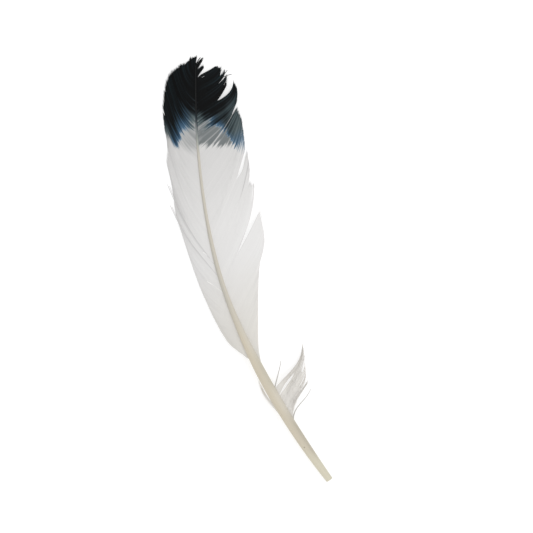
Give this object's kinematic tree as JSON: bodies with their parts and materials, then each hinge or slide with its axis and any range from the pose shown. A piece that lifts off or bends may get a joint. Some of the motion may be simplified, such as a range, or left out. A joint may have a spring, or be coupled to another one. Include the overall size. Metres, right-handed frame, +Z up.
{
  "type": "turkey quill feather",
  "caption": "Bowed turkey quill feather with a bare quill, a downy tuft, and white vanes split at the right edge, dipped black at the tip.",
  "frame": {"origin": "on the table, under the middle of the feather's box", "axes": "+Y along the feather from the cut quill end to the tip, +Z up from the table, upper side of the feather up; +X to the wide vane's side"},
  "size_m": [0.065, 0.3006, 0.0107],
  "materials": {
    "quill_horn": "cream horn with a dull sheen, dyed dark at the tip",
    "vane_barbs": "bleached white barbs with a soft sheen, dip-dyed black at the tip with a blue fringe",
    "down": "loose matt white down"
  },
  "bodies": {
    "root": {"quill_shaft": "quill_horn", "narrow_vane": "vane_barbs", "wide_vane": "vane_barbs", "downy_tuft": "down", "down_wisp": "down"}
  },
  "joints": []
}
